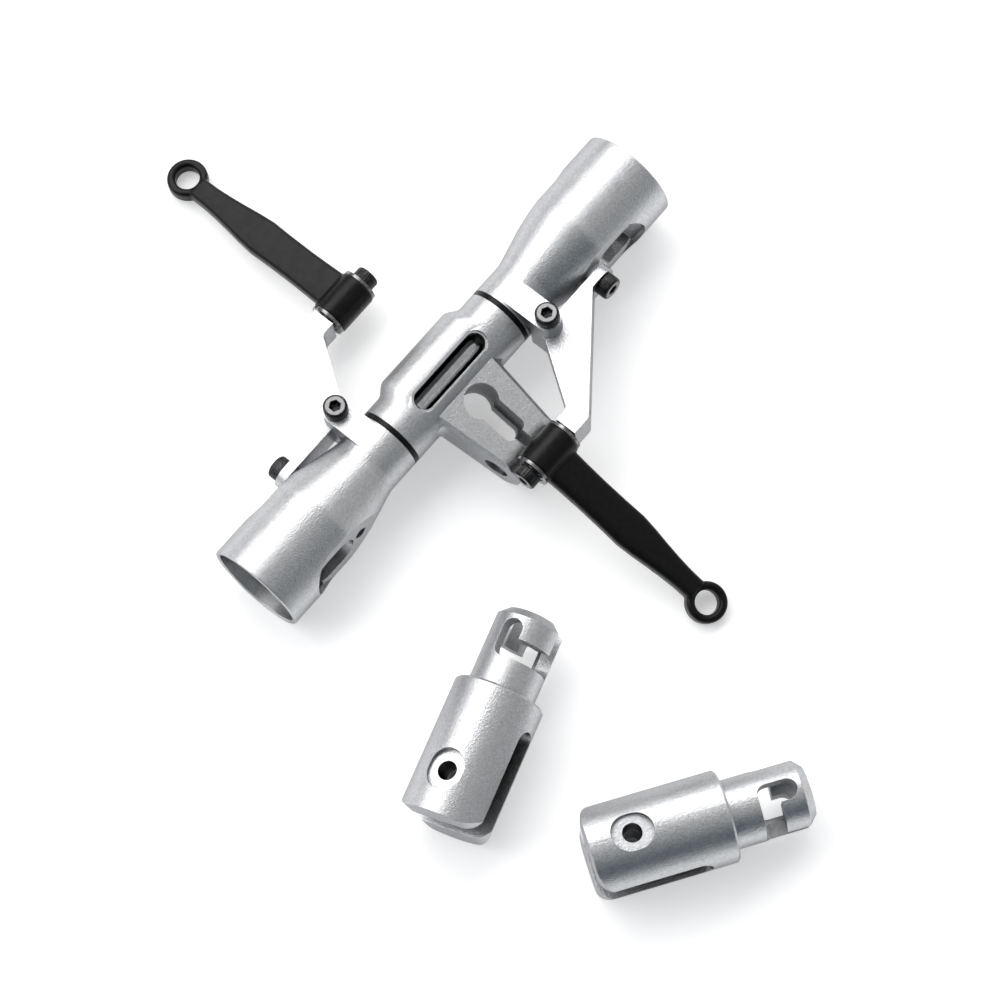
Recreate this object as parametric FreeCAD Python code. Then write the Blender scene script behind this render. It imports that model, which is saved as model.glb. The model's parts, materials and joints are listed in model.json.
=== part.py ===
import FreeCAD, Part
import math
import os

# Two-blade rotor head of a model helicopter, lying on its side, with two quick-release blade holders
# lying loose beside it.
#
# Frame: the origin is where the mast bolt crosses the mast axis. +X runs along the feathering axis, +Y
# away from the mast and +Z up from the table. The hub, the grips and the links lie turned about X as
# the angles under "How it lies" say, so the mast axis leaves along -Y and a little down.
#
# Each piece is drawn in the frame of the piece that carries it, and then laid in place:
#   hub frame     x along the feathering axis from the hub's middle, mast towards -y
#   grip frame    x outward along the feathering axis, pitch arm towards -y, lug on top at +z
#   link frame    hinge axis along x, arm towards -y
#   holder frame  x from the shoulder towards the spigot's tip, blade bolt along z

Vec = FreeCAD.Vector
X_AXIS = Vec(1, 0, 0)
Y_AXIS = Vec(0, 1, 0)
Z_AXIS = Vec(0, 0, 1)

# How it lies
HUB_ROLL = 10.5
RIGHT_ARM_RISE = 7.0
LEFT_ARM_DROP = 5.6
EYE_ABOVE_TABLE = 1.65
HOLDER_1_PLACE = (-32.3, -38.4, 17.2, 21.8)
HOLDER_2_PLACE = (-24.5, -75.8, -32.9, 5.3)

# Clearances
RUNNING = 0.02
SEAT = 0.01
FACE_GAP = 0.1

# How far a cutter runs, past every piece
REACH = 30.0

# Hub yoke
BARREL_R = 5.4
BARREL_HALF = 12.4
BARREL_BORE_R = 2.6
DAMPER_BORE_R = 4.0
DAMPER_BORE_DEPTH = 5.4
CROWN_R = 5.1
CROWN_RISE = 1.6
CROWN_HALF = 8.1
CROWN_END_R = 1.4
WINDOW_HALF = 7.5
WINDOW_WIDTH = 3.3
WINDOW_RIM = 0.35
BLOCK_HALF_THICK = 4.25
BLOCK_ROOT_HALF = 7.1
BLOCK_END_HALF = 4.85
BLOCK_EDGE = 0.55
BLOCK_ROOT_FILLET = 1.5
MAST_BOLT_AT = 15.0
MAST_R = 2.5
MAST_RELIEF_R = 2.6
MAST_RELIEF_END = 14.6
MAST_BOLT_R = 1.6
MAST_BOLT_HEAD_R = 2.05
MAST_BOLT_HEAD_DEPTH = 0.8
KEYHOLE_AT = 6.6
KEYHOLE_R = 2.8
KEYWAY_HALF = 2.0
KEYWAY_END = 14.1
KEYWAY_CORNER_R = 1.05
SPLIT_HALF = 0.9

# Spindle, dampers and spacers
SPINDLE_R = 2.0
SPACER_THICK = 0.8
DAMPER_WIDTH = 2.0
SPINDLE_SCREW_R = 1.25
SPINDLE_SCREW_LENGTH = 6.0
SPINDLE_SCREW_HEAD_R = 2.25
SPINDLE_SCREW_HEAD = 2.5
SPINDLE_SCREW_KEY = 2.0
SPINDLE_WASHER_R = 4.0
SPINDLE_WASHER_THICK = 0.5

# Blade grip, along its axis from its inner end
GRIP_LENGTH = 30.55
NECK_R = 5.4
NECK_LENGTH = 5.6
CUP_FROM = 16.1
CUP_R = 8.0
CUP_BORE_R = 7.25
CUP_MOUTH_CHAMFER = 0.2
CONE_BLEND_R = 5.0
RIM_FILLET = 0.25
RADIAL_BEARING_R = 4.0
RADIAL_BEARING_WIDTH = 2.0
WEB_THICK = 0.7
WEB_BORE_R = 3.0
THRUST_R = 4.5
THRUST_WIDTH = 4.0
THRUST_RACE_WIDTH = 1.25
THRUST_CAGE_GAP = 0.3
SOCKET_R = 5.4
SIDE_FLAT_R = 6.5
SIDE_FLAT_FROM = 6.7
SIDE_FLAT_TO = 24.9
SIDE_FLAT_CORNER_R = 4.6
CATCH_WINDOW_FROM = 15.5
CATCH_WINDOW_TO = 23.8
CATCH_WINDOW_WIDTH = 5.2
CATCH_FROM = 13.85
CATCH_TIP_R = 3.9

# Lug on the grip
LUG_FROM = 2.5
LUG_WIDTH = 4.3
LUG_THICK = 3.0
LUG_SCREW_AT = 7.65

# Pitch arm
ARM_HALF_THICK = 2.4
ARM_BOTTOM = -3.0
ARM_INNER_EDGE = 7.2
ARM_FINGER = 1.55
ARM_FINGER_FROM = 11.6
ARM_FOOT_START = 4.75
ARM_FOOT_END = 8.0
HINGE_AT = 20.3
ARM_FOOT_HALF = 1.85
ARM_KNEE_FROM = 0.2
ARM_KNEE_OUT = 8.9
ARM_SEAT_EDGE = 5.65

# M2 cap screws
M2_R = 1.0
M2_HEAD_R = 1.9
M2_HEAD = 2.0
M2_KEY_ACROSS = 1.5
M2_KEY_DEPTH = 1.0
LUG_SCREW_LENGTH = 6.0
HINGE_SCREW_LENGTH = 12.2
HINGE_WASHER_R = 1.7
HINGE_WASHER_THICK = 0.25

# Link
LINK_PIN_GAP = 0.4
EYE_CHAMFER = 0.3
LINK_LENGTH = 33.2
KNUCKLE_R = 3.1
KNUCKLE_START = -2.95
KNUCKLE_END = 3.95
LINK_ARM_MIDDLE = 0.2
LINK_ARM_ROOT_HALF = 3.15
LINK_ARM_TIP_HALF = 2.6
LINK_ARM_BOTTOM = -1.45
LINK_ARM_TOP = 1.75
LINK_BEVEL = 1.1
EYE_R = 3.3
EYE_THICK = 3.0
EYE_HOLE_R = 1.95
EYE_BALL_R = 2.4
LINK_BEARING_R = 2.5
LINK_BEARING_WIDTH = 2.3
LINK_FLANGE_R = 2.95
LINK_FLANGE_THICK = 0.5

# Blade holder
HOLDER_R = 7.1
HOLDER_LENGTH = 21.4
HOLDER_SHOULDER_CHAMFER = 0.35
FORK_SLOT = 4.0
FORK_WEB = 1.2
FORK_SLOT_DEPTH = 17.2
FORK_END_R = 3.2
BLADE_BOLT_R = 1.5
BLADE_BOLT_AT = 6.7
BOLT_RECESS_LENGTH = 6.5
BOLT_RECESS_WIDTH = 5.6
BOLT_RECESS_FLOOR = 5.9
SPIGOT_R = 5.3
SPIGOT_LENGTH = 12.7
SPIGOT_CHAMFER = 1.3
SPIGOT_BORE_R = 3.3
CATCH_RUN_START = 4.6
CATCH_RUN_WIDTH = 3.2
CATCH_SEAT_END = 10.7
CATCH_TURN = 100.0

# Places that follow from the sizes
SPACER_START = BARREL_HALF
GRIP_START = SPACER_START + SPACER_THICK + FACE_GAP
GRIP_END = GRIP_START + GRIP_LENGTH
NECK_END = GRIP_START + NECK_LENGTH
CUP_START = GRIP_START + CUP_FROM
SIDE_FLAT_START = GRIP_START + SIDE_FLAT_FROM
SIDE_FLAT_END = GRIP_START + SIDE_FLAT_TO
CATCH_WINDOW_START = GRIP_START + CATCH_WINDOW_FROM
CATCH_WINDOW_END = GRIP_START + CATCH_WINDOW_TO
CATCH_AT = GRIP_START + CATCH_FROM
LUG_AT = GRIP_START + LUG_FROM
ARM_FINGER_ROOT = GRIP_START + ARM_FINGER_FROM
ARM_KNEE = (GRIP_START + ARM_KNEE_FROM, ARM_KNEE_OUT)
BEARING_END = GRIP_START + 2 * RADIAL_BEARING_WIDTH + 2 * FACE_GAP
THRUST_START = BEARING_END + WEB_THICK
THRUST_END = THRUST_START + THRUST_WIDTH
SPINDLE_HALF = THRUST_END
SOCKET_START = THRUST_END + SPINDLE_WASHER_THICK + FACE_GAP
SHOULDER_SEAT = CATCH_AT + CATCH_SEAT_END - CATCH_RUN_WIDTH / 2
LUG_TOP = NECK_R
ARM_TOP = LUG_TOP - LUG_THICK
FINGER_OUTER = ARM_INNER_EDGE + ARM_FINGER
SLOPE = math.radians(HUB_ROLL)
AXIS_Y = MAST_BOLT_AT * math.cos(SLOPE)
AXIS_Z = MAST_BOLT_AT * math.sin(SLOPE)
TABLE_Z = AXIS_Z - CUP_R


def cylinder(radius, start, end, axis=X_AXIS, centre=Vec(0, 0, 0)):
    """Solid cylinder along an axis, from one station to another."""
    return Part.makeCylinder(radius, end - start, centre + axis * start, axis)


def ring(outer, inner, start, end, axis=X_AXIS, centre=Vec(0, 0, 0)):
    """Plain ring: a cylinder with a concentric bore."""
    bore = cylinder(inner, start - 1, end + 1, axis, centre)
    return cylinder(outer, start, end, axis, centre).cut(bore)


def box(x_span, y_span, z_span):
    """Box from its spans along the three axes."""
    size = [span[1] - span[0] for span in (x_span, y_span, z_span)]
    return Part.makeBox(*size, Vec(x_span[0], y_span[0], z_span[0]))


def prism(points, low, high):
    """Prism of an outline in the xy plane, from one height to another."""
    wire = Part.makePolygon([Vec(x, y, low) for x, y in points + points[:1]])
    return Part.Face(wire).extrude(Z_AXIS * (high - low))


def turned(profile):
    """Solid turned about the x axis from (station, radius) points."""
    points = [Vec(x, radius, 0) for x, radius in profile]
    wire = Part.makePolygon(points + points[:1])
    return Part.Face(wire).revolve(Vec(0, 0, 0), X_AXIS, 360)


def racetrack(start, end, width, low, high):
    """Slot cutter with round ends, along x and through z."""
    radius = width / 2
    middle = box((start + radius, end - radius), (-radius, radius), (low, high))
    caps = [cylinder(radius, low, high, Z_AXIS, Vec(x, 0, 0)) for x in (start + radius, end - radius)]
    return middle.fuse(caps)


def about_x(shape, angle, centre=Vec(0, 0, 0)):
    """Copy of a shape, turned about an axis along x."""
    turned_copy = shape.copy()
    turned_copy.rotate(centre, X_AXIS, angle)
    return turned_copy


def edges_where(shape, test):
    """The edges whose middle point passes a test."""
    return [edge for edge in shape.Edges if test(edge.CenterOfMass, edge)]


def hexagon(across, low, high, axis, centre):
    """Hexagonal key socket."""
    radius = across / math.sqrt(3)
    turns = [math.radians(60 * i) for i in range(6)]
    corners = [(radius * math.cos(turn), radius * math.sin(turn)) for turn in turns]
    key = prism(corners, low, high)
    key.Placement = FreeCAD.Placement(centre, FreeCAD.Rotation(Z_AXIS, axis)).multiply(key.Placement)
    return key


def cap_screw(seat, axis, length, head_r=M2_HEAD_R, head=M2_HEAD, shank_r=M2_R, key=M2_KEY_ACROSS):
    """Socket cap screw: the head stands on its seat along the axis, and the shank runs the other way."""
    body = cylinder(head_r, 0, head, axis, seat)
    rim = edges_where(body, lambda c, edge: (c - seat).dot(axis) > head * 0.9)
    body = body.makeChamfer(0.2, rim)
    body = body.fuse(cylinder(shank_r, -length, 0, axis, seat))
    return body.cut(hexagon(key, head - M2_KEY_DEPTH, head + 1, axis, seat))


def hub_yoke():
    """Barrel, crown and split clamp block in one machined piece."""
    barrel = cylinder(BARREL_R, -BARREL_HALF, BARREL_HALF)
    crown = cylinder(CROWN_R, -CROWN_HALF, CROWN_HALF, X_AXIS, Vec(0, CROWN_RISE, 0))
    crown = crown.makeFillet(CROWN_END_R, edges_where(crown, lambda c, edge: edge.Length > CROWN_R * 6))
    crown = crown.common(box((-REACH, REACH), (0, REACH), (-REACH, REACH)))

    bolt_y = -MAST_BOLT_AT
    end_y = bolt_y - BLOCK_HALF_THICK
    outline = [(-BLOCK_ROOT_HALF, 0), (BLOCK_ROOT_HALF, 0),
               (BLOCK_END_HALF, end_y), (-BLOCK_END_HALF, end_y)]
    block = prism(outline, -BLOCK_HALF_THICK, BLOCK_HALF_THICK)
    block = block.makeChamfer(BLOCK_EDGE, edges_where(block, lambda c, edge: abs(c.z) > 1 and abs(c.x) > 1))
    side = box((-REACH, REACH), (bolt_y, 0), (-BLOCK_HALF_THICK, BLOCK_HALF_THICK))
    block = block.common(side.fuse(cylinder(BLOCK_HALF_THICK, -REACH, REACH, X_AXIS, Vec(0, bolt_y, 0))))

    yoke = barrel.fuse(block)
    flank = edges_where(yoke, lambda c, edge: abs(c.y + BARREL_R) < 1.2 and abs(c.x) > BLOCK_END_HALF
                        and abs(c.z) < 1 and edge.Length > 6)
    yoke = yoke.makeFillet(BLOCK_ROOT_FILLET, flank)
    yoke = yoke.fuse(crown)

    lobe = cylinder(KEYHOLE_R, -REACH, REACH, Z_AXIS, Vec(0, -KEYHOLE_AT, 0))
    keyway = box((-KEYWAY_HALF, KEYWAY_HALF), (-KEYWAY_END, -KEYHOLE_AT), (-REACH, REACH))
    corners = edges_where(keyway, lambda c, edge: c.y < -KEYWAY_END + 0.1 and edge.Length > REACH)
    keyway = keyway.makeFillet(KEYWAY_CORNER_R, corners)
    split = box((-SPLIT_HALF, SPLIT_HALF), (end_y - 5, -KEYHOLE_AT), (-REACH, REACH))
    mast = cylinder(MAST_R, KEYHOLE_AT, REACH, Vec(0, -1, 0))
    relief = cylinder(MAST_RELIEF_R, KEYHOLE_AT, MAST_RELIEF_END, Vec(0, -1, 0))
    bolt = cylinder(MAST_BOLT_R, -REACH, REACH, X_AXIS, Vec(0, bolt_y, 0))
    taper = (BLOCK_ROOT_HALF - BLOCK_END_HALF) / -end_y
    seat_x = BLOCK_END_HALF + taper * BLOCK_HALF_THICK - MAST_BOLT_HEAD_DEPTH
    seats = [cylinder(MAST_BOLT_HEAD_R, seat_x, REACH, axis, Vec(0, bolt_y, 0))
             for axis in (X_AXIS, X_AXIS * -1)]
    window = racetrack(-WINDOW_HALF, WINDOW_HALF, WINDOW_WIDTH, -REACH, REACH)
    rim_half = WINDOW_WIDTH / 2 + WINDOW_RIM
    rim_floor = math.sqrt(BARREL_R ** 2 - rim_half ** 2)
    rims = [racetrack(-WINDOW_HALF - WINDOW_RIM, WINDOW_HALF + WINDOW_RIM, 2 * rim_half, *span)
            for span in ((rim_floor, REACH), (-REACH, -rim_floor))]
    bore = cylinder(BARREL_BORE_R, -REACH, REACH)
    damper_floor = BARREL_HALF - DAMPER_BORE_DEPTH
    damper_seats = [cylinder(DAMPER_BORE_R, damper_floor, REACH, axis) for axis in (X_AXIS, X_AXIS * -1)]
    return yoke.cut([lobe, keyway, split, mast, relief, bolt, window, bore] + seats + rims + damper_seats)


def feathering_spindle():
    """Polished shaft with a tapped hole and a small chamfer at each end."""
    shaft = cylinder(SPINDLE_R, -SPINDLE_HALF, SPINDLE_HALF)
    shaft = shaft.makeChamfer(0.2, edges_where(shaft, lambda c, edge: edge.Length > SPINDLE_R * 6))
    depth = SPINDLE_SCREW_LENGTH + 1
    holes = [cylinder(SPINDLE_SCREW_R + SEAT, SPINDLE_HALF - depth, SPINDLE_HALF + 1, axis)
             for axis in (X_AXIS, X_AXIS * -1)]
    return shaft.cut(holes)


def damper_rings():
    """Two rubber rings in each end of the barrel, between its bore and the spindle."""
    inner = SPINDLE_R + SEAT
    outer = DAMPER_BORE_R - SEAT
    first = BARREL_HALF - DAMPER_BORE_DEPTH + FACE_GAP
    starts = [first + i * (DAMPER_WIDTH + FACE_GAP) for i in range(2)]
    return [ring(outer, inner, start, start + DAMPER_WIDTH, axis)
            for start in starts for axis in (X_AXIS, X_AXIS * -1)]


def spacer_rings():
    """Black ring between each end of the barrel and its grip."""
    inner = SPINDLE_R + RUNNING
    end = SPACER_START + SPACER_THICK
    return [ring(BARREL_R, inner, SPACER_START, end, axis) for axis in (X_AXIS, X_AXIS * -1)]


def spindle_washers():
    """Washer under each spindle screw, which carries the thrust bearing."""
    end = SPINDLE_HALF + SPINDLE_WASHER_THICK
    inner = SPINDLE_SCREW_R + SEAT
    return [ring(SPINDLE_WASHER_R, inner, SPINDLE_HALF, end, axis) for axis in (X_AXIS, X_AXIS * -1)]


def spindle_screws():
    """Cap screw in each end of the spindle."""
    seat = SPINDLE_HALF + SPINDLE_WASHER_THICK
    length = SPINDLE_SCREW_LENGTH + SPINDLE_WASHER_THICK
    sizes = (SPINDLE_SCREW_HEAD_R, SPINDLE_SCREW_HEAD, SPINDLE_SCREW_R, SPINDLE_SCREW_KEY)
    return [cap_screw(axis * seat, axis, length, *sizes) for axis in (X_AXIS, X_AXIS * -1)]


def grip_blank():
    """Turned outside of a grip: neck, cone and cup with blended corners."""
    blank = turned([(GRIP_START, 0), (GRIP_START, NECK_R), (NECK_END, NECK_R), (CUP_START, CUP_R),
                    (GRIP_END, CUP_R), (GRIP_END, 0)])
    corners = edges_where(blank, lambda c, edge: min(abs(c.x - NECK_END), abs(c.x - CUP_START)) < 0.01
                          and edge.Length > NECK_R * 6)
    blank = blank.makeFillet(CONE_BLEND_R, corners)
    rim = edges_where(blank, lambda c, edge: abs(c.x - GRIP_END) < 0.01 and edge.Length > CUP_R * 6)
    return blank.makeFillet(RIM_FILLET, rim)


def grip_lug():
    """Flat lug on top of the neck that the pitch arm hangs from."""
    half = LUG_WIDTH / 2
    web = box((LUG_AT - half, LUG_AT + half), (-LUG_SCREW_AT, 0), (ARM_TOP, LUG_TOP))
    return web.fuse(cylinder(half, ARM_TOP, LUG_TOP, Z_AXIS, Vec(LUG_AT, -LUG_SCREW_AT, 0)))


def side_flat(side):
    """Cutter for the flat on one side of the grip, with a round run-out towards the rim."""
    corner = SIDE_FLAT_CORNER_R
    flat = box((SIDE_FLAT_START, SIDE_FLAT_END - corner), (SIDE_FLAT_R, REACH), (-corner, corner))
    flat = flat.fuse(cylinder(corner, SIDE_FLAT_R, REACH, Y_AXIS, Vec(SIDE_FLAT_END - corner, 0, 0)))
    return about_x(flat, 0 if side > 0 else 180)


def catch_window(side):
    """Cutter for the slot in a side flat."""
    slot = racetrack(CATCH_WINDOW_START, CATCH_WINDOW_END, CATCH_WINDOW_WIDTH, SOCKET_R - 2, REACH)
    return about_x(slot, -90 if side > 0 else 90)


def blade_grip():
    """Grip: holds the bearings in its neck and a blade holder in its cup."""
    grip = grip_blank().fuse(grip_lug())
    mouth = CUP_BORE_R + CUP_MOUTH_CHAMFER
    bore = turned([(GRIP_START - 1, 0), (GRIP_START - 1, RADIAL_BEARING_R + SEAT),
                   (BEARING_END, RADIAL_BEARING_R + SEAT), (BEARING_END, WEB_BORE_R),
                   (THRUST_START, WEB_BORE_R), (THRUST_START, THRUST_R + SEAT),
                   (SOCKET_START, THRUST_R + SEAT), (SOCKET_START, SOCKET_R),
                   (SHOULDER_SEAT, SOCKET_R), (SHOULDER_SEAT, CUP_BORE_R),
                   (GRIP_END - CUP_MOUTH_CHAMFER, CUP_BORE_R), (GRIP_END, mouth),
                   (GRIP_END + 1, mouth), (GRIP_END + 1, 0)])
    catch_hole = cylinder(M2_R + SEAT, -REACH, REACH, Y_AXIS, Vec(CATCH_AT, 0, 0))
    lug_hole = cylinder(M2_R + SEAT, 0, REACH, Z_AXIS, Vec(LUG_AT, -LUG_SCREW_AT, 0))
    cuts = [side_flat(1), side_flat(-1), bore, catch_window(1), catch_window(-1), catch_hole, lug_hole]
    return grip.cut(cuts)


def radial_bearings():
    """Two shielded ball bearings side by side in the neck."""
    starts = [GRIP_START + FACE_GAP / 2 + i * (RADIAL_BEARING_WIDTH + FACE_GAP / 2) for i in range(2)]
    rings = []
    for start in starts:
        end = start + RADIAL_BEARING_WIDTH
        rings.append(ring(RADIAL_BEARING_R, SPINDLE_R + RUNNING, start, end))
    return rings


def thrust_races():
    """The two washers of the thrust bearing."""
    inner = SPINDLE_R + RUNNING
    first = ring(THRUST_R, inner, THRUST_START, THRUST_START + THRUST_RACE_WIDTH)
    last = ring(THRUST_R, inner, THRUST_END - THRUST_RACE_WIDTH, THRUST_END - FACE_GAP / 2)
    return [first, last]


def thrust_balls():
    """Balls of the thrust bearing in their cage, as one plain ring between the races."""
    inner = SPINDLE_R + THRUST_CAGE_GAP
    outer = THRUST_R - THRUST_CAGE_GAP
    return ring(outer, inner, THRUST_START + THRUST_RACE_WIDTH, THRUST_END - THRUST_RACE_WIDTH)


def pitch_arm():
    """Plate from the lug and the catch screw to the foot that carries the link."""
    half = LUG_WIDTH / 2
    foot_inner = HINGE_AT - ARM_FOOT_HALF
    foot_outer = HINGE_AT + ARM_FOOT_HALF
    finger_end = CATCH_AT + ARM_HALF_THICK
    outline = [(LUG_AT - half, ARM_SEAT_EDGE), (LUG_AT + half, ARM_SEAT_EDGE),
               (LUG_AT + half, ARM_INNER_EDGE), (finger_end, ARM_INNER_EDGE),
               (finger_end, FINGER_OUTER), (ARM_FINGER_ROOT, FINGER_OUTER),
               (ARM_FOOT_END, foot_outer), (ARM_FOOT_START, foot_outer), (ARM_FOOT_START, foot_inner),
               (ARM_FOOT_END - 0.9, foot_inner), ARM_KNEE, (LUG_AT - half, ARM_KNEE[1] - 0.4)]
    plate = prism([(x, -y) for x, y in outline], ARM_BOTTOM, ARM_TOP)
    soft = {(ARM_FOOT_END, foot_outer): 0.6, (ARM_FOOT_END - 0.9, foot_inner): 1.0,
            (ARM_FINGER_ROOT, FINGER_OUTER): 0.8}
    for (x, y), radius in soft.items():
        corner = edges_where(plate, lambda c, edge: math.hypot(c.x - x, c.y + y) < 0.05 and edge.Length > 3)
        plate = plate.makeFillet(radius, corner)
    finger_round = box((-10, ARM_FINGER_ROOT), (-40, 0), (-10, 10))
    finger_round = finger_round.fuse(box((0, CATCH_AT), (-40, 0), (-ARM_HALF_THICK, ARM_HALF_THICK)))
    finger_round = finger_round.fuse(cylinder(ARM_HALF_THICK, -40, 0, Y_AXIS, Vec(CATCH_AT, 0, 0)))
    plate = plate.common(finger_round)
    pad = cylinder(M2_HEAD_R, SIDE_FLAT_R, ARM_INNER_EDGE + 0.1, Vec(0, -1, 0), Vec(CATCH_AT, 0, 0))
    lug_hole = cylinder(M2_R + SEAT, -REACH, REACH, Z_AXIS, Vec(LUG_AT, -LUG_SCREW_AT, 0))
    catch_hole = cylinder(M2_R + SEAT, 0, REACH, Vec(0, -1, 0), Vec(CATCH_AT, 0, 0))
    hinge_hole = cylinder(M2_R + SEAT, 0, REACH, X_AXIS, Vec(0, -HINGE_AT, 0))
    return plate.fuse(pad).cut([lug_hole, catch_hole, hinge_hole])


def lug_screw():
    """Screw through the lug into the pitch arm."""
    return cap_screw(Vec(LUG_AT, -LUG_SCREW_AT, LUG_TOP), Z_AXIS, LUG_SCREW_LENGTH)


def catch_screw():
    """Screw through the arm's finger into the grip; its tip is a catch pin."""
    return cap_screw(Vec(CATCH_AT, -FINGER_OUTER, 0), Vec(0, -1, 0), FINGER_OUTER - CATCH_TIP_R)


def catch_pin():
    """Set screw opposite the catch screw, sunk below the flat."""
    pin = cylinder(M2_R, CATCH_TIP_R, SIDE_FLAT_R - 0.4, Y_AXIS, Vec(CATCH_AT, 0, 0))
    return pin.cut(hexagon(0.9, SIDE_FLAT_R - 1.2, SIDE_FLAT_R, Y_AXIS, Vec(CATCH_AT, 0, 0)))


def hinge_screw():
    """Screw that is the link's hinge pin, from the far side into the foot of the arm."""
    seat = KNUCKLE_START - LINK_FLANGE_THICK - FACE_GAP / 2
    return cap_screw(Vec(seat, -HINGE_AT, 0), Vec(-1, 0, 0), HINGE_SCREW_LENGTH)


def hinge_washer():
    """Washer between the knuckle and the foot of the arm."""
    start = ARM_FOOT_START - HINGE_WASHER_THICK
    return ring(HINGE_WASHER_R, M2_R + SEAT, start, ARM_FOOT_START, X_AXIS, Vec(0, -HINGE_AT, 0))


def link_section(y, half):
    """Cross-section of the link's arm: flat underneath, bevelled towards a narrow top face."""
    top = half - LINK_BEVEL
    shoulder = LINK_ARM_TOP - LINK_BEVEL
    points = [(-half, LINK_ARM_BOTTOM), (half, LINK_ARM_BOTTOM), (half, shoulder), (top, LINK_ARM_TOP),
              (-top, LINK_ARM_TOP), (-half, shoulder)]
    return Part.makePolygon([Vec(LINK_ARM_MIDDLE + x, y, z) for x, z in points + points[:1]])


def link():
    """Arm from the hinge knuckle to the eye that snaps on a ball."""
    knuckle = cylinder(KNUCKLE_R, KNUCKLE_START, KNUCKLE_END)
    neck = LINK_LENGTH - EYE_R + 0.6
    sections = [link_section(0, LINK_ARM_ROOT_HALF), link_section(-neck, LINK_ARM_TIP_HALF)]
    arm = Part.makeLoft(sections, True, True)
    eye_centre = Vec(0, -LINK_LENGTH, 0)
    eye = cylinder(EYE_R, -EYE_THICK / 2, EYE_THICK / 2, Z_AXIS, eye_centre)
    eye = eye.makeChamfer(EYE_CHAMFER, edges_where(eye, lambda c, edge: edge.Length > EYE_R * 6))
    body = knuckle.fuse([arm, eye])
    hole = cylinder(EYE_HOLE_R, -REACH, REACH, Z_AXIS, eye_centre)
    socket = Part.makeSphere(EYE_BALL_R, eye_centre)
    pin_bore = cylinder(M2_R + LINK_PIN_GAP, -REACH, REACH)
    seats = [cylinder(LINK_BEARING_R + SEAT, KNUCKLE_START - 1, KNUCKLE_START + LINK_BEARING_WIDTH),
             cylinder(LINK_BEARING_R + SEAT, KNUCKLE_END - LINK_BEARING_WIDTH, KNUCKLE_END + 1)]
    return body.cut([hole, socket, pin_bore] + seats)


def link_bearings():
    """Flanged bearing in each end of the knuckle."""
    bearings = []
    for face, inward in ((KNUCKLE_START, 1), (KNUCKLE_END, -1)):
        span = sorted((face, face + inward * LINK_BEARING_WIDTH))
        flange_span = sorted((face, face - inward * LINK_FLANGE_THICK))
        body = cylinder(LINK_BEARING_R, *span).fuse(cylinder(LINK_FLANGE_R, *flange_span))
        body = body.cut(cylinder(M2_R + RUNNING, -REACH, REACH))
        recess_at = face - inward * LINK_FLANGE_THICK
        recess = sorted((recess_at - 0.12, recess_at + 0.12))
        bearings.append(body.cut(ring(LINK_BEARING_R - 0.35, M2_R + 0.45, *recess)))
    return bearings


def catch_slot():
    """Cutter for one J-shaped slot: in from the tip, part of a turn, and back out to its seat."""
    outer = SPIGOT_R + 2
    run = Part.makeCylinder(outer, CATCH_RUN_WIDTH, Vec(0, 0, 0), Z_AXIS, CATCH_TURN)
    run.rotate(Vec(0, 0, 0), Y_AXIS, 90)
    run = about_x(run, 180)
    run.translate(Vec(CATCH_RUN_START, 0, 0))
    seat = racetrack(CATCH_RUN_START, CATCH_SEAT_END, CATCH_RUN_WIDTH, 0, outer)
    entry = racetrack(CATCH_RUN_START, SPIGOT_LENGTH + CATCH_RUN_WIDTH, CATCH_RUN_WIDTH, 0, outer)
    return run.fuse([seat, about_x(entry, CATCH_TURN)])


def blade_holder():
    """Fork for the blade root, with the hollow bayonet spigot behind it."""
    body = cylinder(HOLDER_R, -HOLDER_LENGTH, 0)
    shoulder = edges_where(body, lambda c, edge: abs(c.x) < 0.01 and edge.Length > HOLDER_R * 6)
    body = body.makeChamfer(HOLDER_SHOULDER_CHAMFER, shoulder)
    corner = FORK_END_R
    side_view = box((-HOLDER_LENGTH + corner, 1), (-REACH, REACH), (-REACH, REACH))
    waist = HOLDER_R - corner
    side_view = side_view.fuse(box((-HOLDER_LENGTH, 1), (-waist, waist), (-REACH, REACH)))
    rounds = [cylinder(corner, -REACH, REACH, Z_AXIS, Vec(-HOLDER_LENGTH + corner, y, 0))
              for y in (-waist, waist)]
    body = body.common(side_view.fuse(rounds))
    spigot = cylinder(SPIGOT_R, 0, SPIGOT_LENGTH)
    tip = edges_where(spigot, lambda c, edge: abs(c.x - SPIGOT_LENGTH) < 0.01 and edge.Length > SPIGOT_R * 6)
    spigot = spigot.makeChamfer(SPIGOT_CHAMFER, tip)
    holder = body.fuse(spigot)

    half = FORK_SLOT / 2
    slot_end = -HOLDER_LENGTH + FORK_SLOT_DEPTH
    slot = box((-HOLDER_LENGTH - 1, slot_end - half), (-REACH, REACH), (-half, half))
    slot = slot.fuse(cylinder(half, -REACH, REACH, Y_AXIS, Vec(slot_end - half, 0, 0)))
    bolt_x = -HOLDER_LENGTH + BLADE_BOLT_AT
    bolt = cylinder(BLADE_BOLT_R, -REACH, REACH, Z_AXIS, Vec(bolt_x, 0, 0))
    recess_half = BOLT_RECESS_LENGTH / 2
    recesses = [racetrack(bolt_x - recess_half, bolt_x + recess_half, BOLT_RECESS_WIDTH, *span)
                for span in ((BOLT_RECESS_FLOOR, REACH), (-REACH, -BOLT_RECESS_FLOOR))]
    bore = cylinder(SPIGOT_BORE_R, slot_end + FORK_WEB, REACH)
    catch = catch_slot()
    return holder.cut([slot, bolt, bore, catch, about_x(catch, 180)] + recesses)


def lay_hub(shape):
    """From the hub frame to where the head lies."""
    laid = about_x(shape, HUB_ROLL)
    laid.translate(Vec(0, AXIS_Y, AXIS_Z))
    return laid


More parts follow.
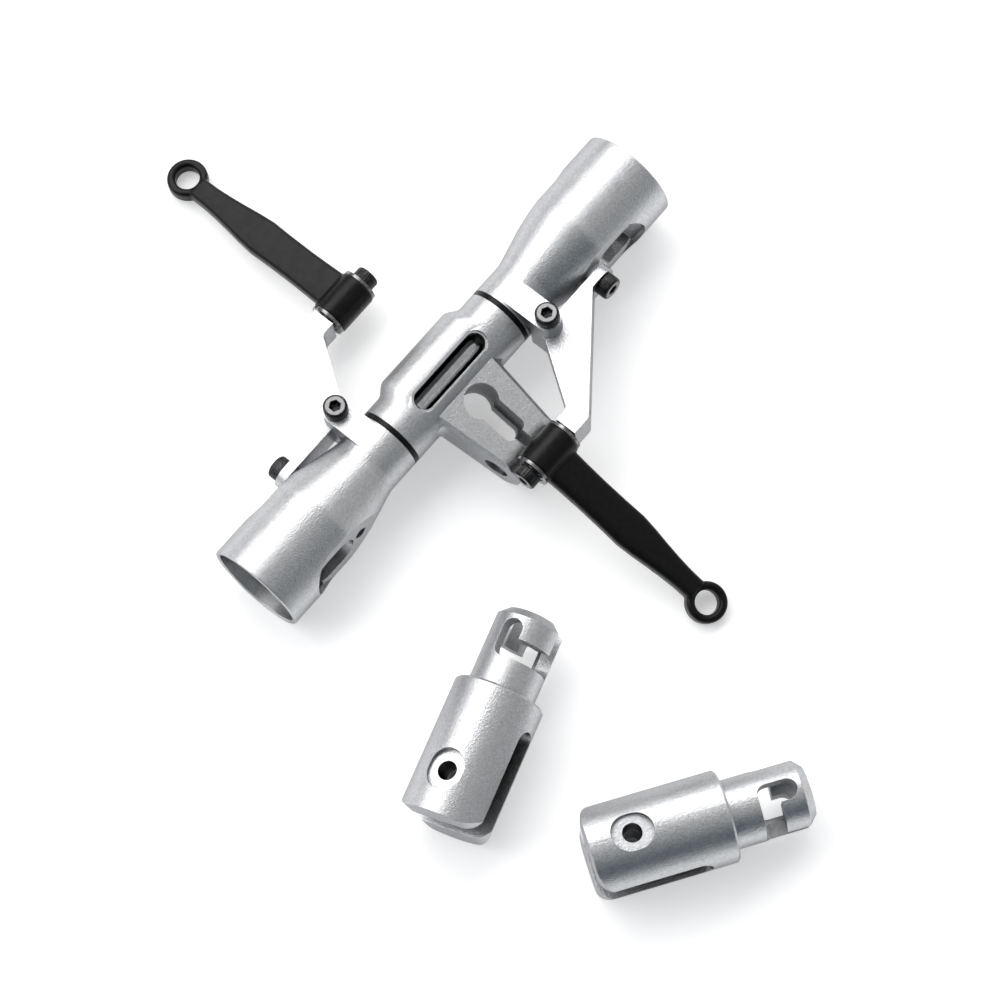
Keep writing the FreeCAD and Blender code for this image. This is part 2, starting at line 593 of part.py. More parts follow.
def lay_grip(shape, side):
    """From the grip frame to the right (+1) or left (-1) side of the head."""
    laid = shape.copy()
    if side < 0:
        laid.rotate(Vec(0, 0, 0), Z_AXIS, 180)
    laid = about_x(laid, -RIGHT_ARM_RISE if side > 0 else -LEFT_ARM_DROP)
    laid.translate(Vec(0, AXIS_Y, AXIS_Z))
    return laid


def hinge_centre(side):
    """Middle of the link's hinge, from the feathering axis."""
    rise = math.radians(RIGHT_ARM_RISE if side > 0 else -LEFT_ARM_DROP)
    return Vec(0, -side * HINGE_AT * math.cos(rise), HINGE_AT * math.sin(rise))


def lay_link(shape, side):
    """From the link frame to the hinge, sloping until the eye lies on the table."""
    centre = hinge_centre(side)
    drop = centre.z + CUP_R - EYE_ABOVE_TABLE
    slope = math.degrees(math.asin(drop / LINK_LENGTH))
    laid = about_x(shape, slope)
    if side < 0:
        laid.rotate(Vec(0, 0, 0), Z_AXIS, 180)
    laid.translate(centre + Vec(0, AXIS_Y, AXIS_Z))
    return laid


def lay_holder(shape, place):
    """From the holder frame to its place on the table."""
    x, y, heading, roll = place
    laid = about_x(shape, -roll)
    laid.rotate(Vec(0, 0, 0), Z_AXIS, heading)
    laid.translate(Vec(x, y + AXIS_Y, TABLE_Z + HOLDER_R))
    return laid


def export(name, shapes, lay):
    """Writes one node: a piece, or a group of like pieces."""
    solids = shapes if isinstance(shapes, list) else [shapes]
    laid = [lay(solid.removeSplitter()) for solid in solids]
    shape = laid[0] if len(laid) == 1 else Part.makeCompound(laid)
    shape.exportStep("parts/" + name + ".step")


os.makedirs("parts", exist_ok=True)

for make in (hub_yoke, feathering_spindle, damper_rings, spacer_rings, spindle_washers, spindle_screws):
    export(make.__name__, make(), lay_hub)

for side_name, side in (("right", 1), ("left", -1)):
    for make in (blade_grip, radial_bearings, thrust_races, thrust_balls, pitch_arm, lug_screw, catch_screw,
                 catch_pin, hinge_screw, hinge_washer):
        export(make.__name__ + "_" + side_name, make(), lambda shape: lay_grip(shape, side))
    for make in (link, link_bearings):
        export(make.__name__ + "_" + side_name, make(), lambda shape: lay_link(shape, side))

for number, place in ((1, HOLDER_1_PLACE), (2, HOLDER_2_PLACE)):
    export("blade_holder_" + str(number), blade_holder(), lambda shape: lay_holder(shape, place))
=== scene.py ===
"""Looks of the rotor head: bead-blasted aluminium, black moulded links and blackened screws on white."""

import json
import math

import bpy
from mathutils import Matrix, Vector

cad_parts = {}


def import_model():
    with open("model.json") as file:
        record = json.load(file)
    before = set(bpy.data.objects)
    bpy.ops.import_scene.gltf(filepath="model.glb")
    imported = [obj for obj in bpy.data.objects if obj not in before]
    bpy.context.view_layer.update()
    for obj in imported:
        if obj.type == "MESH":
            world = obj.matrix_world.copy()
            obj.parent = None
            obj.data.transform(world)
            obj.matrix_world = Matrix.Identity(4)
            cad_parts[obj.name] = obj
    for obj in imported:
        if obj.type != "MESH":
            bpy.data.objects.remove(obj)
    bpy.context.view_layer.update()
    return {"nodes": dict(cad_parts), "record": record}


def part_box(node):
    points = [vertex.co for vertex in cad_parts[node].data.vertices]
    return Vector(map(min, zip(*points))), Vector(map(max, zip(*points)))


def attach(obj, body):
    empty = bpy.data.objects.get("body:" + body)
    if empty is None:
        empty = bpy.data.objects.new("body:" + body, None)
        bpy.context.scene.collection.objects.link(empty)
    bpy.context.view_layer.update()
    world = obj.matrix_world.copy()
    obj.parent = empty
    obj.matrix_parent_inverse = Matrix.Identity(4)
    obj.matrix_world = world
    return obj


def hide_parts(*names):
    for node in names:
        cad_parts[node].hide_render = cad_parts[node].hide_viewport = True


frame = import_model()

MM = 0.001
NODES = frame["nodes"]
Z_AXIS = Vector((0, 0, 1))

# How it lies, as in the frame
HUB_ROLL = math.radians(10.5)
MAST_BOLT_AT = 15.0 * MM
RIGHT_ARM_RISE = math.radians(7.0)
LEFT_ARM_DROP = math.radians(5.6)
HUB_CENTRE = Vector((0, MAST_BOLT_AT * math.cos(HUB_ROLL), MAST_BOLT_AT * math.sin(HUB_ROLL)))
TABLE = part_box("blade_holder_1")[0].z

# Camera
CAMERA_AZIMUTH = math.radians(-142.0)
CAMERA_ELEVATION = math.radians(74.03)
CAMERA_ROLL = math.radians(2.44)
CAMERA_DISTANCE = 565.87 * MM
CAMERA_TARGET = Vector((-8.27, -3.33, -2.32)) * MM
FOCAL_LENGTH = 133.3
SENSOR = 36.0

# Floor, lamp and surroundings
FLOOR_HALF = 5.0
FLOOR_COLOUR = (0.86, 0.86, 0.86)
FLOOR_GLOW = 0.36
SOFTBOX_TOWARDS = Vector((0.12, 0.61, 0.78)).normalized()
SOFTBOX_AWAY = 0.7
SOFTBOX_SIZE = (2.0, 0.46)
SOFTBOX_POWER = 8.6
SHADE_TOWARDS = Vector((-0.58, -0.76, 0.3)).normalized()
SHADE_FROM = 0.35
SHADE_FULL = 0.95
WORLD_BRIGHT = (0.58, 0.58, 0.585)
WORLD_SHADE = (0.1, 0.13, 0.15)

# Surfaces
EDGE_R = 0.12 * MM
# Reach of the shade painted into the aluminium's bores and hollows
HOLLOW_SHADE_REACH = 14 * MM
# Colour of the highlights painted on the screw heads
HIGHLIGHT_STEEL = (0.15, 0.15, 0.153)

# M2 cap screws; a key size below is added to the hexagon's width
M2_R = 1.0 * MM
M2_HEAD_R = 1.9 * MM
M2_HEAD = 2.0 * MM
M2_KEY_ACROSS = 1.5 * MM
M2_KEY_DEPTH = 1.1 * MM
M2_PITCH = 0.4 * MM
SCREW_POINTS = 36
HEAD_RIDGES = 28
RIDGE_POINTS = 6
RIDGE_DEPTH = 0.05 * MM
HEAD_ROUND = 0.3 * MM
HEAD_ROUND_STEPS = 4
HEAD_FOOT_IN = 0.12 * MM
HEAD_FOOT_UP = 0.1 * MM
# Painted highlights on the head's top: a ring inside the rounded edge and one around the socket
TOP_HIGHLIGHT_FROM = 0.03 * MM
TOP_HIGHLIGHT_FULL = 0.08 * MM
KEY_HIGHLIGHT_FULL = 0.3 * MM
KEY_HIGHLIGHT_TO = 0.24 * MM
KEY_BEVEL = 0.16 * MM
KEY_BEVEL_DEPTH = 0.08 * MM
KEY_POINT_ACROSS = 0.3
KEY_POINT_DEPTH = 0.2 * MM
THREAD_STEPS = 6
THREAD_ROOT = 0.84
THREAD_DEPTH = 0.15
THREAD_CREST = 1.3
THREAD_RUN_OUT = 0.86
THREAD_TIP = 0.7
THREAD_TIP_LENGTH = 0.08 * MM

# Each grip's screws, in the grip's own frame: seat, axis, length and where its thread starts to show
GRIP_SCREWS = (
    ("lug_screw", (15.8 * MM, -7.65 * MM, 5.4 * MM), (0, 0, 1), 6.0 * MM, None),
    ("catch_screw", (27.15 * MM, -8.75 * MM, 0), (0, -1, 0), 4.85 * MM, None),
    ("hinge_screw", (-3.5 * MM, -20.3 * MM, 0), (-1, 0, 0), 12.2 * MM, 11.0 * MM),
)

# Mark on the cup: radius and height of each ring, in millimetres
CUP_R = 8.0 * MM
CUP_MARK_AT = 34.4 * MM
CUP_MARK_RINGS = ((1.46, 0.004), (1.42, 0.02), (1.34, 0.02), (1.30, 0.004))
CUP_MARK_POINTS = 64

# Links, in the link's own frame: hinge along x, arm along -y. A ring has its radii and its ends
HINGE_AT = 20.3 * MM
LINK_LENGTH = 33.2 * MM
EYE_ABOVE_TABLE = 1.65 * MM
KNUCKLE = (2.55 * MM, 3.1 * MM, -2.95 * MM, 3.95 * MM)
KNUCKLE_ROUND = 0.2 * MM
EYE = (1.92 * MM, 3.27 * MM, -1.3 * MM, 1.3 * MM)
EYE_ROUND = 0.6 * MM
RING_POINTS = 96
SECTION_POINTS = 32
LINK_ARM_MIDDLE = 0.2 * MM
LINK_ARM_CENTRE = 0.15 * MM
LINK_ARM_HALF_THICK = 1.55 * MM
LINK_ARM_SQUARENESS = 0.5
LINK_ARM_POINTS = 48
LINK_STATIONS = (2.62, 5.0, 9.0, 13.5, 17.2, 20.0, 22.5, 25.5, 28.0, 30.75)
LINK_HALF_WIDTHS = (3.1, 3.0, 2.9, 2.92, 3.02, 2.75, 2.4, 2.05, 1.85, 1.8)
LINK_VOXEL = 0.11 * MM
LINK_SMOOTHING = 26

# Crown of the yoke and its run-out onto the barrel; angles in degrees
BARREL_R = 5.4 * MM
CROWN_R = 5.1 * MM
CROWN_RISE = 1.6 * MM
CROWN_BLEND_START = 6.9 * MM
CROWN_BLEND_END = 9.5 * MM
CROWN_BLEND_STEPS = 18
CROWN_LIFT = 0.015 * MM
CROWN_TUCK = 0.06 * MM
CROWN_SIDE_ANGLE = 102
CROWN_STEP_ANGLE = 3
WINDOW_ROUND_AT = 5.85 * MM
WINDOW_RIM_R = 2.04 * MM


def hub_matrix():
    """From the hub's own frame to where it lies."""
    return Matrix.Translation(HUB_CENTRE) @ Matrix.Rotation(HUB_ROLL, 4, "X")


def grip_matrix(side):
    """From a grip's own frame to where it lies."""
    turn = Matrix.Rotation(0 if side > 0 else math.pi, 4, "Z")
    roll = Matrix.Rotation(-RIGHT_ARM_RISE if side > 0 else -LEFT_ARM_DROP, 4, "X")
    return Matrix.Translation(HUB_CENTRE) @ roll @ turn


def link_matrix(side):
    """From a link's own frame to where it lies, its eye on the table."""
    rise = RIGHT_ARM_RISE if side > 0 else -LEFT_ARM_DROP
    hinge = Vector((0, -side * HINGE_AT * math.cos(rise), HINGE_AT * math.sin(rise)))
    slope = math.asin((hinge.z + CUP_R - EYE_ABOVE_TABLE) / LINK_LENGTH)
    turn = Matrix.Rotation(0 if side > 0 else math.pi, 4, "Z")
    return Matrix.Translation(HUB_CENTRE + hinge) @ turn @ Matrix.Rotation(slope, 4, "X")


# Material nodes

def shader(name, colour, roughness, metallic=0.0):
    """New material; returns it with its node tree and its shader node."""
    material = bpy.data.materials.new(name)
    material.use_nodes = True
    tree = material.node_tree
    surface = tree.nodes["Principled BSDF"]
    surface.inputs["Base Color"].default_value = (*colour, 1)
    surface.inputs["Metallic"].default_value = metallic
    surface.inputs["Roughness"].default_value = roughness
    return material, tree, surface


def noise(tree, scale, detail=2.0, rough=0.5):
    """Noise fixed to the object, with a scale in features per metre."""
    place = tree.nodes.new("ShaderNodeTexCoord")
    texture = tree.nodes.new("ShaderNodeTexNoise")
    texture.inputs["Scale"].default_value = scale
    texture.inputs["Detail"].default_value = detail
    texture.inputs["Roughness"].default_value = rough
    tree.links.new(place.outputs["Object"], texture.inputs["Vector"])
    return texture.outputs["Fac"]


def product(tree, first, second, added=None):
    """First colour times a second, plus a third where one is given."""
    node = tree.nodes.new("ShaderNodeVectorMath")
    node.operation = "MULTIPLY" if added is None else "MULTIPLY_ADD"
    for socket, value in zip(node.inputs, (first, second, added)):
        if isinstance(value, tuple):
            socket.default_value = value
        elif value is not None:
            tree.links.new(value, socket)
    return node.outputs["Vector"]


def spread(tree, value, low, high, start=0.3, end=0.7):
    """Maps a value from one range to another."""
    node = tree.nodes.new("ShaderNodeMapRange")
    node.inputs["From Min"].default_value = start
    node.inputs["From Max"].default_value = end
    node.inputs["To Min"].default_value = low
    node.inputs["To Max"].default_value = high
    tree.links.new(value, node.inputs["Value"])
    return node.outputs["Result"]


def tint(tree, value, low, high, start=0.35, end=0.65, interpolation="LINEAR"):
    """Colour between two by a value."""
    ramp = tree.nodes.new("ShaderNodeValToRGB")
    ramp.color_ramp.interpolation = interpolation
    ramp.color_ramp.elements[0].position = start
    ramp.color_ramp.elements[0].color = (*low, 1)
    ramp.color_ramp.elements[1].position = end
    ramp.color_ramp.elements[1].color = (*high, 1)
    tree.links.new(value, ramp.inputs["Fac"])
    return ramp.outputs["Color"]


def grain(tree, surface, value, height):
    """Fine relief from a noise value, with softened edges."""
    bump = tree.nodes.new("ShaderNodeBump")
    bump.inputs["Strength"].default_value = 1.0
    bump.inputs["Distance"].default_value = height
    edge = tree.nodes.new("ShaderNodeBevel")
    edge.samples = 4
    edge.inputs["Radius"].default_value = EDGE_R
    tree.links.new(edge.outputs["Normal"], bump.inputs["Normal"])
    tree.links.new(value, bump.inputs["Height"])
    tree.links.new(bump.outputs["Normal"], surface.inputs["Normal"])


def painted_hollow_shade(tree, reach):
    """Painted shade mask: one in the open and near nought deep inside the same piece."""
    inside = tree.nodes.new("ShaderNodeAmbientOcclusion")
    inside.samples = 4
    inside.only_local = True
    inside.inputs["Distance"].default_value = reach
    return inside.outputs["AO"]


def either(tree, first, second):
    """Greater of two values."""
    node = tree.nodes.new("ShaderNodeMath")
    node.operation = "MAXIMUM"
    tree.links.new(first, node.inputs[0])
    tree.links.new(second, node.inputs[1])
    return node.outputs["Value"]


# Materials

def satin_aluminium():
    """Bead-blasted and clear-anodised; shade is painted into its deep bores and hollows as a darker colour.
    """
    material, tree, surface = shader("satin_aluminium", (0.55, 0.56, 0.575), 0.33, 1.0)
    skin = tint(tree, noise(tree, 2500), (0.5, 0.51, 0.522), (0.6, 0.61, 0.62))
    # Painted shade: the base colour is darkened deep in bores, slots and crevices of the same piece
    painted_shade = spread(tree, painted_hollow_shade(tree, HOLLOW_SHADE_REACH), 0.05, 1.0, 0.16, 0.52)
    tree.links.new(product(tree, skin, painted_shade), surface.inputs["Base Color"])
    tree.links.new(spread(tree, noise(tree, 900), 0.29, 0.37), surface.inputs["Roughness"])
    surface.inputs["Specular Tint"].default_value = (0.5, 0.5, 0.51, 1)
    grain(tree, surface, noise(tree, 4200, 2.0, 0.55), 0.065 * MM)
    return material


def black_plastic():
    """Moulded, glass-filled plastic."""
    material, tree, surface = shader("black_plastic", (0.006, 0.006, 0.0065), 0.32)
    skin = tint(tree, noise(tree, 1500), (0.0015, 0.0015, 0.0017), (0.0035, 0.0035, 0.0037))
    tree.links.new(skin, surface.inputs["Base Color"])
    tree.links.new(spread(tree, noise(tree, 700), 0.27, 0.38), surface.inputs["Roughness"])
    surface.inputs["Specular IOR Level"].default_value = 0.19
    grain(tree, surface, noise(tree, 3500), 0.012 * MM)
    return material


def black_steel():
    """Blackened, with highlights painted brighter on the heads' top ring and down their socket walls."""
    material, tree, surface = shader("black_steel", (0.03, 0.03, 0.03), 0.28, 1.0)
    painted_highlight = tree.nodes.new("ShaderNodeAttribute")
    painted_highlight.attribute_name = "painted_highlight"
    skin = tint(tree, noise(tree, 2500), (0.02, 0.02, 0.021), (0.045, 0.045, 0.046))
    # Painted highlight: the base colour is brighter where the head carries it
    tree.links.new(product(tree, painted_highlight.outputs["Vector"], HIGHLIGHT_STEEL, skin), surface.inputs["Base Color"])
    tree.links.new(spread(tree, noise(tree, 1500), 0.24, 0.38), surface.inputs["Roughness"])
    grain(tree, surface, noise(tree, 6000), 0.01 * MM)
    return material


def polished_steel():
    """Ground and polished shaft."""
    material, tree, surface = shader("polished_steel", (0.5, 0.5, 0.505), 0.06, 1.0)
    skin = tint(tree, noise(tree, 1200), (0.45, 0.45, 0.453), (0.55, 0.55, 0.553))
    tree.links.new(skin, surface.inputs["Base Color"])
    tree.links.new(spread(tree, noise(tree, 2000), 0.04, 0.08), surface.inputs["Roughness"])
    return material


def bearing_steel():
    """Dull, oiled bearing steel."""
    material, tree, surface = shader("bearing_steel", (0.2, 0.2, 0.205), 0.26, 1.0)
    skin = tint(tree, noise(tree, 1500), (0.14, 0.14, 0.143), (0.26, 0.26, 0.263))
    tree.links.new(skin, surface.inputs["Base Color"])
    tree.links.new(spread(tree, noise(tree, 2500), 0.2, 0.32), surface.inputs["Roughness"])
    return material


def rubber():
    """Black rubber."""
    material, tree, surface = shader("rubber", (0.006, 0.006, 0.006), 0.5)
    skin = tint(tree, noise(tree, 1800), (0.004, 0.004, 0.004), (0.009, 0.009, 0.009))
    tree.links.new(skin, surface.inputs["Base Color"])
    surface.inputs["Specular IOR Level"].default_value = 0.2
    grain(tree, surface, noise(tree, 4000), 0.012 * MM)
    return material


MATERIALS = {make.__name__: make() for make in
             (satin_aluminium, black_plastic, black_steel, polished_steel, bearing_steel, rubber)}


def dress_frame():
    """Gives each node the material of its slot."""
    for part in frame["record"]["subparts"]:
        mesh = NODES[part["node"]].data
        mesh.materials.clear()
        mesh.materials.append(MATERIALS[part["material_slot"]])


# Skins over rings of points

def circle_ring(radius, height, count):
    """Ring of points; the radius may be a function of the angle."""
    points = []
    for i in range(count):
        angle = 2 * math.pi * i / count
        r = radius(angle) if callable(radius) else radius
        points.append((r * math.cos(angle), r * math.sin(angle), height))
    return points


def rings_mesh(rings, cap_first=True, cap_last=True):
    """Vertices and faces of a skin over rings of equal length."""
    count = len(rings[0])
    vertices = [point for ring in rings for point in ring]
    faces = []
    for level in range(len(rings) - 1):
        below = level * count
        above = below + count
        for i in range(count):
            j = (i + 1) % count
            faces.append((below + i, below + j, above + j, above + i))
    if cap_first:
        faces.append(tuple(reversed(range(count))))
    if cap_last:
        last = (len(rings) - 1) * count
        faces.append(tuple(range(last, last + count)))
    return vertices, faces


def piece(name, skins, material, place, body, painted_highlight=None):
    """Object from one or more skins, laid in place and riding on a body."""
    vertices = []
    faces = []
    for skin_vertices, skin_faces in skins:
        shift = len(vertices)
        vertices += [tuple(place @ Vector(point)) for point in skin_vertices]
        faces += [tuple(index + shift for index in face) for face in skin_faces]
    mesh = bpy.data.meshes.new(name)
    mesh.from_pydata(vertices, [], faces)
    # Painted highlight strength of each point, read by the black steel
    if painted_highlight:
        values = painted_highlight + [0.0] * (len(vertices) - len(painted_highlight))
        mesh.attributes.new("painted_highlight", "FLOAT", "POINT").data.foreach_set("value", values)
    mesh.materials.append(MATERIALS[material])
    mesh.shade_smooth()
    mesh.set_sharp_from_angle(angle=math.radians(30.0))
    thing = bpy.data.objects.new(name, mesh)
    bpy.context.scene.collection.objects.link(thing)
    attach(thing, body)
    return thing


# Screws

def hex_radius(across):
    """Radius of a hexagon's edge as a function of the angle."""
    def radius(angle):
        return across / 2 / math.cos((angle + math.pi / 6) % (math.pi / 3) - math.pi / 6)
    return radius


def ridge_radius(angle):
    """Radius of a screw head's finely ridged rim."""
    return M2_HEAD_R - RIDGE_DEPTH / 2 + RIDGE_DEPTH / 2 * math.cos(HEAD_RIDGES * angle)


def screw_head():
    """Ridged head with a rounded top edge and a hexagonal socket; returns its skin and how much painted
    highlight each point carries.
    """
    count = HEAD_RIDGES * RIDGE_POINTS
    flat = M2_HEAD_R - RIDGE_DEPTH - HEAD_ROUND
    socket = hex_radius(M2_KEY_ACROSS)
    rings = [(M2_R, 0, 0), (M2_HEAD_R - HEAD_FOOT_IN, 0, 0),
             (ridge_radius, HEAD_FOOT_UP, 0), (ridge_radius, M2_HEAD - HEAD_ROUND, 0)]
    for step in range(1, HEAD_ROUND_STEPS + 1):
        turn = math.pi / 2 * step / HEAD_ROUND_STEPS
        rings.append((flat + HEAD_ROUND * math.cos(turn), M2_HEAD - HEAD_ROUND * (1 - math.sin(turn)), 0))
    # Painted highlights: a bright ring on the top and a fading sheen down the socket walls
    rings += [(flat - TOP_HIGHLIGHT_FROM, M2_HEAD, 0),
              (flat - TOP_HIGHLIGHT_FULL, M2_HEAD, 1),
              (hex_radius(M2_KEY_ACROSS + KEY_HIGHLIGHT_FULL), M2_HEAD, 1),
              (hex_radius(M2_KEY_ACROSS + KEY_HIGHLIGHT_TO), M2_HEAD, 0),
              (hex_radius(M2_KEY_ACROSS + KEY_BEVEL), M2_HEAD, 0),
              (socket, M2_HEAD - KEY_BEVEL_DEPTH, 0.5),
              (socket, M2_HEAD - M2_KEY_DEPTH / 2, 0.3),
              (socket, M2_HEAD - M2_KEY_DEPTH, 0),
              (M2_KEY_ACROSS * KEY_POINT_ACROSS, M2_HEAD - M2_KEY_DEPTH - KEY_POINT_DEPTH, 0)]
    skin = rings_mesh([circle_ring(radius, height, count) for radius, height, bright in rings],
                      cap_first=False)
    return skin, [float(bright) for radius, height, bright in rings for i in range(count)]


def thread(start, end):
    """Threaded shank from one height down to another."""
    rings = [circle_ring(M2_R * THREAD_RUN_OUT, start, SCREW_POINTS)]
    total = round((start - end) / M2_PITCH * THREAD_STEPS)
    for step in range(total + 1):
        height = start - (start - end) * step / total
        ring = []
        for i in range(SCREW_POINTS):
            phase = (height / M2_PITCH + i / SCREW_POINTS) % 1
            crest = 1 - abs(2 * phase - 1)
            r = M2_R * THREAD_ROOT + M2_R * THREAD_DEPTH * min(1, crest * THREAD_CREST)
            angle = 2 * math.pi * i / SCREW_POINTS
            ring.append((r * math.cos(angle), r * math.sin(angle), height))
        rings.append(ring)
    rings.append(circle_ring(M2_R * THREAD_TIP, end - THREAD_TIP_LENGTH, SCREW_POINTS))
    vertices, faces = rings_mesh(rings)
    return vertices, [tuple(reversed(face)) for face in faces]


def along(seat, axis):
    """Matrix that stands a piece on its seat, with its z along an axis."""
    return Matrix.Translation(seat) @ Z_AXIS.rotation_difference(axis).to_matrix().to_4x4()


def cap_screw(node, body, seat, axis, length, thread_from):
    """Detailed M2 screw in place of a plain one; its thread shows from a given depth down, if at all."""
    head, painted_highlight = screw_head()
    plain_end = thread_from or length
    shank = rings_mesh([circle_ring(M2_R, height, SCREW_POINTS) for height in (-plain_end, 0)])
    skins = [head, shank]
    if thread_from:
        skins.append(thread(-thread_from, -length))
    made = piece("detailed_" + node, skins, "black_steel", along(seat, axis), body, painted_highlight=painted_highlight)
    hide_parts(node)


def grip_screws(side, name):
    """The three M2 screws of a grip."""
    lay = grip_matrix(side)
    turn = lay.to_3x3()
    body = "grip_" + name
    for kind, seat, axis, length, thread_from in GRIP_SCREWS:
        cap_screw(kind + "_" + name, body, lay @ Vector(seat), turn @ Vector(axis), length, thread_from)


def cup_mark(side, name):
    """Shallow round mark on top of the cup."""
    rings = []
    for radius, height in CUP_MARK_RINGS:
        ring = []
        for i in range(CUP_MARK_POINTS):
            angle = 2 * math.pi * i / CUP_MARK_POINTS
            across = radius * MM * math.sin(angle)
            ring.append((CUP_MARK_AT + radius * MM * math.cos(angle), across,
                         math.sqrt(CUP_R ** 2 - across ** 2) + height * MM))
        rings.append(ring)
    skin = rings_mesh(rings, cap_first=False, cap_last=False)
    piece("cup_mark_" + name, [skin], "satin_aluminium", grip_matrix(side), "grip_" + name)


# Links

def rounded_ring(inner, outer, low, high, round_off, place):
    """Ring of rounded cross-section about an axis; place lays radius, angle and height."""
    middle, half = (inner + outer) / 2, (outer - inner) / 2 - round_off
    centre, reach = (low + high) / 2, (high - low) / 2 - round_off
    profile = []
    for i in range(SECTION_POINTS):
        angle = 2 * math.pi * (i + 0.5) / SECTION_POINTS
        across, up = math.cos(angle), math.sin(angle)
        profile.append((middle + math.copysign(half, across) + round_off * across,
                        centre + math.copysign(reach, up) + round_off * up))
    rings = []
    for i in range(RING_POINTS + 1):
        turn = 2 * math.pi * i / RING_POINTS
        rings.append([place(radius, turn, height) for radius, height in profile + profile[:1]])
    return rings_mesh(rings, cap_first=False, cap_last=False)


def about_hinge(radius, angle, height):
    """Point of the knuckle, which lies along x."""
    return height, radius * math.cos(angle), radius * math.sin(angle)


def about_eye(radius, angle, height):
    """Point of the eye, which stands along z at the link's end."""
    return radius * math.cos(angle), radius * math.sin(angle) - LINK_LENGTH, height


def squared(value):
    """Sine or cosine drawn out towards its ends, for a section between a circle and a square."""
    return math.copysign(abs(value) ** LINK_ARM_SQUARENESS, value)


def link_arm():
    """Arm of a link: rounded section, narrow behind the eye."""
    rings = []
    for station, half in zip(LINK_STATIONS, LINK_HALF_WIDTHS):
        ring = []
        for i in range(LINK_ARM_POINTS):
            angle = 2 * math.pi * i / LINK_ARM_POINTS
            ring.append((LINK_ARM_MIDDLE + half * MM * squared(math.cos(angle)), -station * MM,
                         LINK_ARM_CENTRE + LINK_ARM_HALF_THICK * squared(math.sin(angle))))
        rings.append(ring)
    return rings_mesh(rings)


def moulded_link(side, name):
    """Knuckle, arm and eye melted into one moulded piece."""
    node = "link_" + name
    knuckle = rounded_ring(*KNUCKLE, KNUCKLE_ROUND, about_hinge)
    eye = rounded_ring(*EYE, EYE_ROUND, about_eye)
    thing = piece("moulded_" + node, [knuckle, eye, link_arm()], "black_plastic", link_matrix(side), node)
    remesh = thing.modifiers.new("voxels", "REMESH")
    remesh.mode = "VOXEL"
    remesh.voxel_size = LINK_VOXEL
    remesh.use_smooth_shade = True
    soften = thing.modifiers.new("soften", "SMOOTH")
    soften.factor = 0.5
    soften.iterations = LINK_SMOOTHING
    shown = bpy.data.meshes.new_from_object(thing.evaluated_get(bpy.context.evaluated_depsgraph_get()))
    thing.modifiers.clear()
    thing.data = shown
    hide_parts(node)


# Crown

def near_window(point):
    """Whether a point lies within the rim of the barrel's window, at one of its round ends."""
    return math.hypot(abs(point[0]) - WINDOW_ROUND_AT, point[1]) < WINDOW_RIM_R


def crown_run_out(side, name):
    """Smooth slope from one end of the crown onto the barrel, open around the window."""
    count = 2 * CROWN_SIDE_ANGLE // CROWN_STEP_ANGLE + 1
    rings = []
    for step in range(-1, CROWN_BLEND_STEPS + 2):
        part_way = min(max(step / CROWN_BLEND_STEPS, 0), 1)
        ease = part_way * part_way * (3 - 2 * part_way)
        lift = CROWN_LIFT if 0 <= step <= CROWN_BLEND_STEPS else -CROWN_TUCK
        radius = CROWN_R + (BARREL_R - CROWN_R) * ease + lift
        x = CROWN_BLEND_START + (CROWN_BLEND_END - CROWN_BLEND_START) * step / CROWN_BLEND_STEPS
        ring = []
        for i in range(count):
            angle = math.radians(-CROWN_SIDE_ANGLE + CROWN_STEP_ANGLE * i)
            ring.append((side * x, CROWN_RISE * (1 - ease) + radius * math.cos(angle),
                         radius * math.sin(angle)))
        rings.append(ring)
    vertices, faces = rings_mesh(rings, cap_first=False, cap_last=False)
    faces = [face for face in faces
             if abs(face[0] - face[1]) == 1 and not any(near_window(vertices[i]) for i in face)]
    if side < 0:
        faces = [tuple(reversed(face)) for face in faces]
    piece("crown_run_out_" + name, [(vertices, faces)], "satin_aluminium", hub_matrix(), "hub")


# Studio

def floor_material():
    """White, and glowing only for rays that look at it."""
    material = bpy.data.materials.new("floor")
    material.use_nodes = True
    tree = material.node_tree
    tree.nodes.clear()
    diffuse = tree.nodes.new("ShaderNodeBsdfDiffuse")
    diffuse.inputs["Color"].default_value = (*FLOOR_COLOUR, 1)
    path = tree.nodes.new("ShaderNodeLightPath").outputs
    seen = either(tree, path["Is Camera Ray"], path["Is Glossy Ray"])
    seen = either(tree, seen, path["Is Transmission Ray"])
    glow = tree.nodes.new("ShaderNodeEmission")
    glow.inputs["Color"].default_value = (1, 1, 1, 1)
    tree.links.new(spread(tree, seen, 0.0, FLOOR_GLOW, 0.0, 1.0), glow.inputs["Strength"])
    both = tree.nodes.new("ShaderNodeAddShader")
    tree.links.new(diffuse.outputs["BSDF"], both.inputs[0])
    tree.links.new(glow.outputs["Emission"], both.inputs[1])
    output = tree.nodes.new("ShaderNodeOutputMaterial")
    tree.links.new(both.outputs["Shader"], output.inputs["Surface"])
    return material


def floor():
    """Table that the parts lie on."""
    mesh = bpy.data.meshes.new("floor")
    corners = [(x * FLOOR_HALF, y * FLOOR_HALF, TABLE) for x, y in ((-1, -1), (1, -1), (1, 1), (-1, 1))]
    mesh.from_pydata(corners, [], [(0, 1, 2, 3)])
    mesh.materials.append(floor_material())
    thing = bpy.data.objects.new("floor", mesh)
    bpy.context.scene.collection.objects.link(thing)


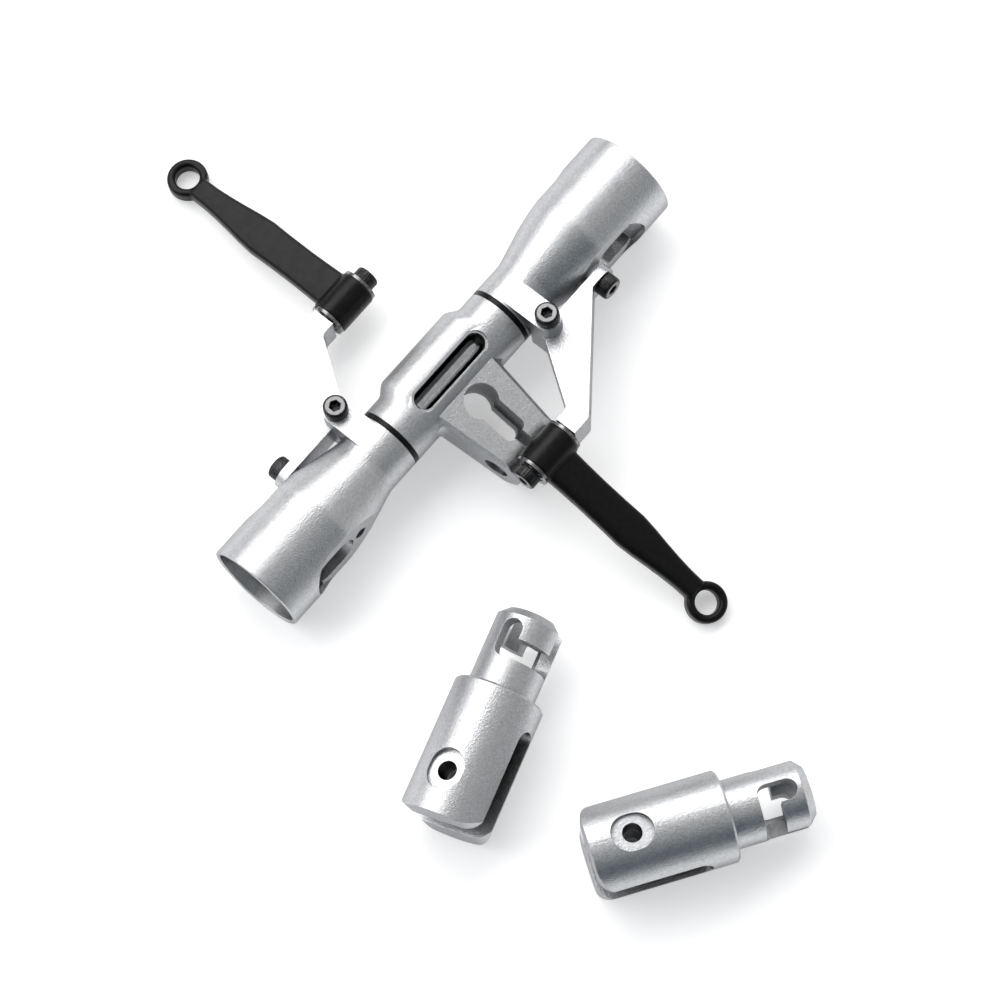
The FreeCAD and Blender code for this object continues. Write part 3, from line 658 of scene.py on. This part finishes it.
def world():
    """Pale all round, with a blue-grey shade on one side for the metal to show."""
    surroundings = bpy.data.worlds.new("studio")
    bpy.context.scene.world = surroundings
    surroundings.use_nodes = True
    tree = surroundings.node_tree
    background = tree.nodes["Background"]
    place = tree.nodes.new("ShaderNodeTexCoord")
    towards = tree.nodes.new("ShaderNodeVectorMath")
    towards.operation = "DOT_PRODUCT"
    towards.inputs[1].default_value = SHADE_TOWARDS
    tree.links.new(place.outputs["Generated"], towards.inputs[0])
    colour = tint(tree, towards.outputs["Value"], WORLD_BRIGHT, WORLD_SHADE, SHADE_FROM, SHADE_FULL, "EASE")
    tree.links.new(colour, background.inputs["Color"])
    background.inputs["Strength"].default_value = 1.0


def softbox():
    """Rectangular lamp that faces the object."""
    lamp = bpy.data.lights.new("key", "AREA")
    lamp.shape = "RECTANGLE"
    lamp.size, lamp.size_y = SOFTBOX_SIZE
    lamp.energy = SOFTBOX_POWER
    thing = bpy.data.objects.new("key", lamp)
    thing.location = SOFTBOX_TOWARDS * SOFTBOX_AWAY
    thing.rotation_mode = "QUATERNION"
    thing.rotation_quaternion = SOFTBOX_TOWARDS.to_track_quat("Z", "Y")
    bpy.context.scene.collection.objects.link(thing)


def camera():
    """The photograph's camera."""
    lens = bpy.data.cameras.new("camera")
    lens.lens = FOCAL_LENGTH
    lens.sensor_width = SENSOR
    lens.clip_start = 0.01
    lens.clip_end = 10
    eye = bpy.data.objects.new("camera", lens)
    level = math.cos(CAMERA_ELEVATION)
    back = Vector((level * math.cos(CAMERA_AZIMUTH), level * math.sin(CAMERA_AZIMUTH),
                   math.sin(CAMERA_ELEVATION)))
    right = Z_AXIS.cross(back).normalized()
    up = back.cross(right)
    rolled_right = right * math.cos(CAMERA_ROLL) + up * math.sin(CAMERA_ROLL)
    rolled_up = up * math.cos(CAMERA_ROLL) - right * math.sin(CAMERA_ROLL)
    turn = Matrix((rolled_right, rolled_up, back)).transposed().to_4x4()
    eye.matrix_world = Matrix.Translation(CAMERA_TARGET + back * CAMERA_DISTANCE) @ turn
    bpy.context.scene.collection.objects.link(eye)
    bpy.context.scene.camera = eye


dress_frame()
for side, side_name in ((1, "right"), (-1, "left")):
    grip_screws(side, side_name)
    cup_mark(side, side_name)
    moulded_link(side, side_name)
for side, side_name in ((1, "right"), (-1, "left")):
    crown_run_out(side, side_name)
floor()
world()
softbox()
camera()

bpy.context.scene.view_settings.view_transform = "Standard"
